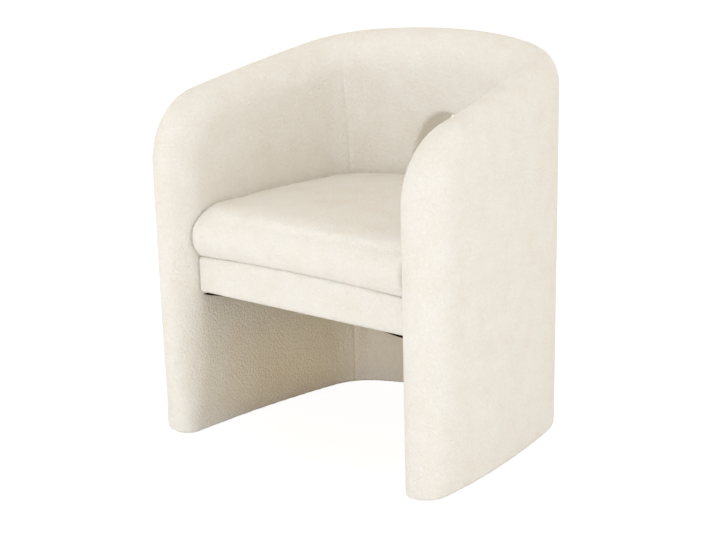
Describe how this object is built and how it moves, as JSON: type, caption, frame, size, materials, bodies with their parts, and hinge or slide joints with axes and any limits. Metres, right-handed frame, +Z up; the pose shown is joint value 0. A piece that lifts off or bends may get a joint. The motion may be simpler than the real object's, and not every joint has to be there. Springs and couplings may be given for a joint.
{
  "type": "upholstered barrel armchair",
  "caption": "Upholstered barrel dining armchair: a padded U-shaped wall forms arms, back and legs round a crowned seat, with an arched opening in the back.",
  "frame": {"origin": "on the floor under the middle of the chair's outline", "axes": "+Z up, +Y towards the back of the chair, +X to the sitter's left, so the front faces -Y"},
  "size_m": [0.6904, 0.5938, 0.7327],
  "materials": {
    "boucle": "looped ivory boucle",
    "foam": "open-cell polyurethane foam",
    "timber": "planed, unfinished",
    "plywood": "sawn plywood",
    "hardboard": "smooth hardboard",
    "webbing": "woven elastic",
    "dust_cloth": "black non-woven cloth",
    "screw_steel": "zinc plated",
    "glide_plastic": "moulded"
  },
  "bodies": {
    "root": {"inside_left_cover": "boucle", "inside_back_cover": "boucle", "inside_right_cover": "boucle", "outside_left_cover": "boucle", "outside_back_cover": "boucle", "outside_right_cover": "boucle", "opening_lining": "boucle", "seat_cover": "boucle", "apron_cover": "boucle", "inside_foam": "foam", "edge_foam": "foam", "seat_foam": "foam", "apron_padding": "foam", "left_front_post": "timber", "left_side_post": "timber", "left_corner_post": "timber", "left_back_post": "timber", "left_side_rail": "timber", "right_front_post": "timber", "right_side_post": "timber", "right_corner_post": "timber", "right_back_post": "timber", "right_side_rail": "timber", "front_rail": "timber", "rear_rail": "timber", "corner_blocks": "timber", "base_rib": "plywood", "top_rib": "plywood", "opening_frame": "plywood", "seat_deck": "plywood", "inside_board": "hardboard", "outside_board": "hardboard", "long_webbing": "webbing", "cross_webbing": "webbing", "dust_cover": "dust_cloth", "base_strip": "dust_cloth", "seat_screws": "screw_steel", "glides": "glide_plastic"}
  },
  "joints": []
}
